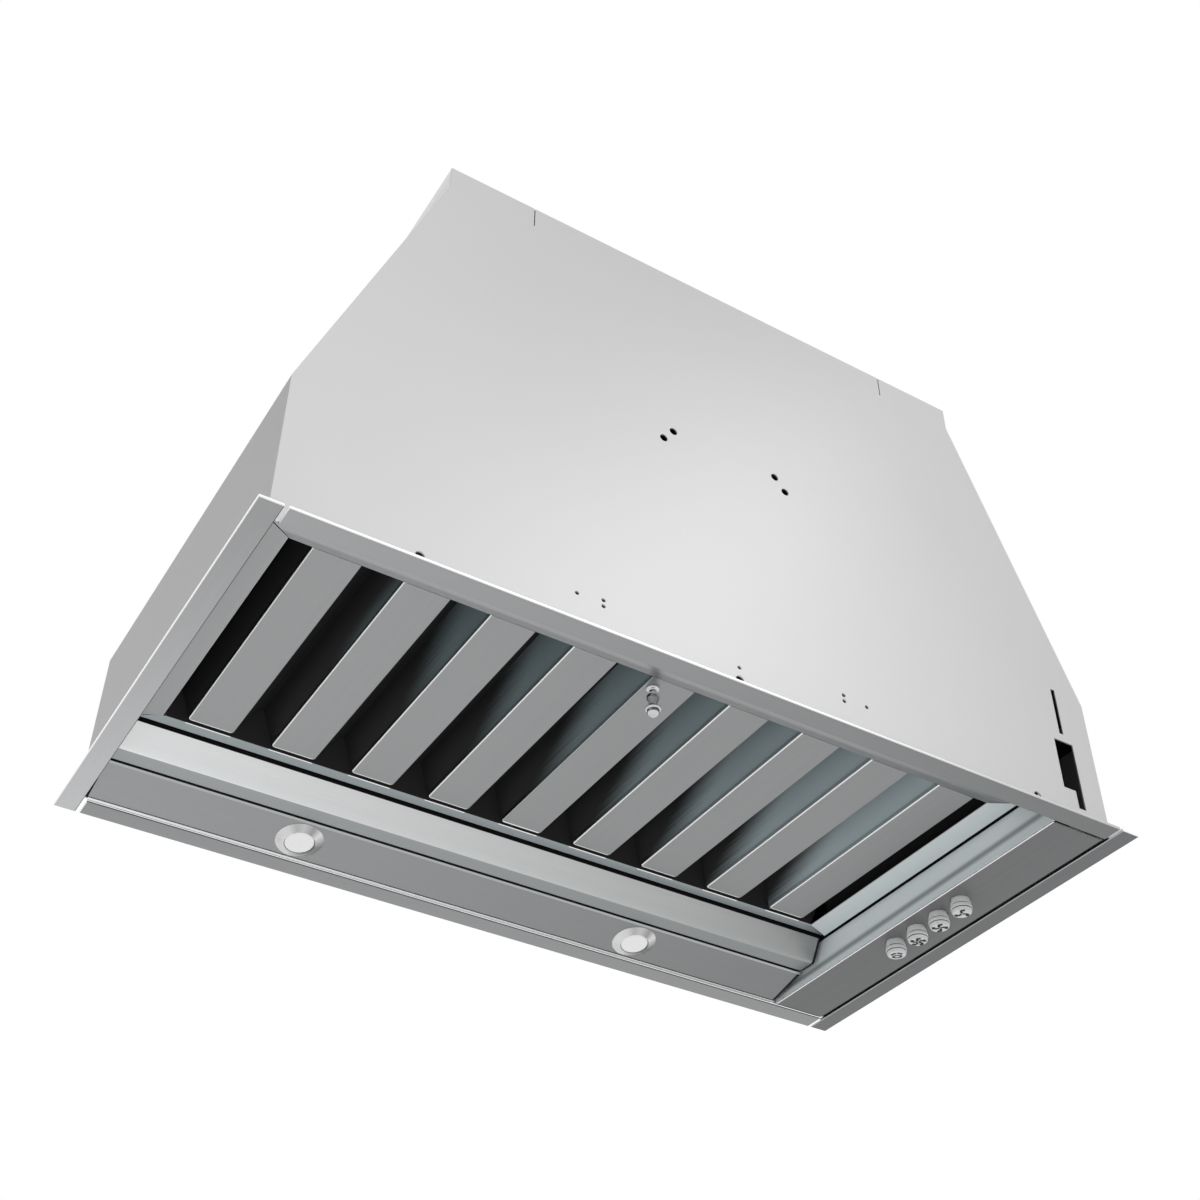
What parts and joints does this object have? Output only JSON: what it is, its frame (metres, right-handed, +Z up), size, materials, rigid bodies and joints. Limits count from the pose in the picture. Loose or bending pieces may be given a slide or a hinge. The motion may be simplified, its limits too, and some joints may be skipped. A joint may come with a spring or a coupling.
{
  "type": "range hood insert",
  "caption": "Stainless range hood insert for a cabinet or custom hood, with a hinged baffle filter, lamp panel, push buttons, blower and duct collar.",
  "frame": {"origin": "centre of the flange's underside", "axes": "+X to the controls' end, +Y from the front wall to the back wall, +Z up into the cabinet"},
  "size_m": [0.75, 0.4092, 0.4976],
  "materials": {
    "housing_steel": "light satin sheet steel",
    "galvanised_steel": "galvanised sheet steel",
    "bright_steel": "bright steel, brushed along its length",
    "lamp_panel_steel": "satin steel",
    "control_panel_steel": "satin steel, brushed front to back",
    "polished_steel": "polished steel",
    "baffle_steel": "satin steel, brushed lengthwise",
    "knob_metal": "polished metal",
    "spring_steel": "plain bright steel",
    "fastener_steel": "zinc plated",
    "button_plastic": "light grey satin plastic",
    "white_metal": "white lacquer",
    "frosted_lens": "frosted white",
    "cast_aluminium": "cast aluminium",
    "black_plastic": "black moulding",
    "circuit_board": "green board",
    "motor_enamel": "grey enamel",
    "impeller_metal": "plain aluminium sheet",
    "driver_plastic": "white moulding",
    "black_rubber": "black rubber"
  },
  "bodies": {
    "housing": {"front_wall": "housing_steel", "back_wall": "housing_steel", "left_end_wall": "housing_steel", "right_end_wall": "housing_steel", "top_plate": "housing_steel", "outlet_collar": "galvanised_steel", "collar_screws": "fastener_steel", "damper_pins": "spring_steel", "plenum_frame": "galvanised_steel", "rear_band": "bright_steel", "lamp_panel": "lamp_panel_steel", "rear_rail": "bright_steel", "control_panel": "control_panel_steel", "control_box": "polished_steel", "switch_bank": "black_plastic", "switch_board": "circuit_board", "lamp_bezel_left": "white_metal", "lamp_bezel_right": "white_metal", "lamp_lens_left": "frosted_lens", "lamp_lens_right": "frosted_lens", "lamp_bodies": "cast_aluminium", "lamp_clips": "spring_steel", "hinge_pins": "spring_steel", "filter_catches": "spring_steel", "blower_scroll": "galvanised_steel", "scroll_side_left": "galvanised_steel", "scroll_side_right": "galvanised_steel", "blower_brackets": "galvanised_steel", "bracket_screws": "fastener_steel", "motor_body": "motor_enamel", "motor_spider": "galvanised_steel", "spider_screws": "fastener_steel", "capacitor": "black_plastic", "lamp_driver": "driver_plastic", "cable_grommet": "black_rubber"},
    "filter": {"filter_front_rail": "baffle_steel", "filter_rear_rail": "baffle_steel", "filter_left_rail": "baffle_steel", "filter_right_rail": "baffle_steel", "lower_baffle_1": "baffle_steel", "lower_baffle_2": "baffle_steel", "lower_baffle_3": "baffle_steel", "lower_baffle_4": "baffle_steel", "lower_baffle_5": "baffle_steel", "lower_baffle_6": "baffle_steel", "lower_baffle_7": "baffle_steel", "lower_baffle_8": "baffle_steel", "lower_baffle_9": "baffle_steel", "upper_baffles": "baffle_steel", "pull_knob": "knob_metal", "knob_nut": "fastener_steel"},
    "fan": {"impeller_blades": "impeller_metal", "impeller_frame": "impeller_metal", "impeller_shaft": "spring_steel"},
    "left_damper": {"damper_flap_left": "galvanised_steel"},
    "right_damper": {"damper_flap_right": "galvanised_steel"},
    "light_key": {"light_button": "button_plastic"},
    "low_key": {"low_button": "button_plastic"},
    "medium_key": {"medium_button": "button_plastic"},
    "high_key": {"high_button": "button_plastic"}
  },
  "joints": [
    {"name": "filter_hinge", "type": "hinge", "parent": "housing", "child": "filter", "pos_m": [-0.03, 0.0932, 0.036], "axis": [1, 0, 0], "range_deg": [0, 88]},
    {"name": "fan_spin", "type": "hinge", "parent": "housing", "child": "fan", "pos_m": [0, -0.022, 0.214], "axis": [1, 0, 0], "continuous": true},
    {"name": "left_damper_hinge", "type": "hinge", "parent": "housing", "child": "left_damper", "pos_m": [-0.004, 0.06585, 0.455], "axis": [0, 1, 0], "range_deg": [0, 75]},
    {"name": "right_damper_hinge", "type": "hinge", "parent": "housing", "child": "right_damper", "pos_m": [0.004, 0.06585, 0.455], "axis": [0, -1, 0], "range_deg": [0, 75]},
    {"name": "light_press", "type": "slide", "parent": "housing", "child": "light_key", "axis": [0, 0, 1], "range_m": [0, 0.0025], "stiffness_N_per_m": 600, "springref_m": -0.001},
    {"name": "low_press", "type": "slide", "parent": "housing", "child": "low_key", "axis": [0, 0, 1], "range_m": [0, 0.0025], "stiffness_N_per_m": 600, "springref_m": -0.001},
    {"name": "medium_press", "type": "slide", "parent": "housing", "child": "medium_key", "axis": [0, 0, 1], "range_m": [0, 0.0025], "stiffness_N_per_m": 600, "springref_m": -0.001},
    {"name": "high_press", "type": "slide", "parent": "housing", "child": "high_key", "axis": [0, 0, 1], "range_m": [0, 0.0025], "stiffness_N_per_m": 600, "springref_m": -0.001}
  ]
}
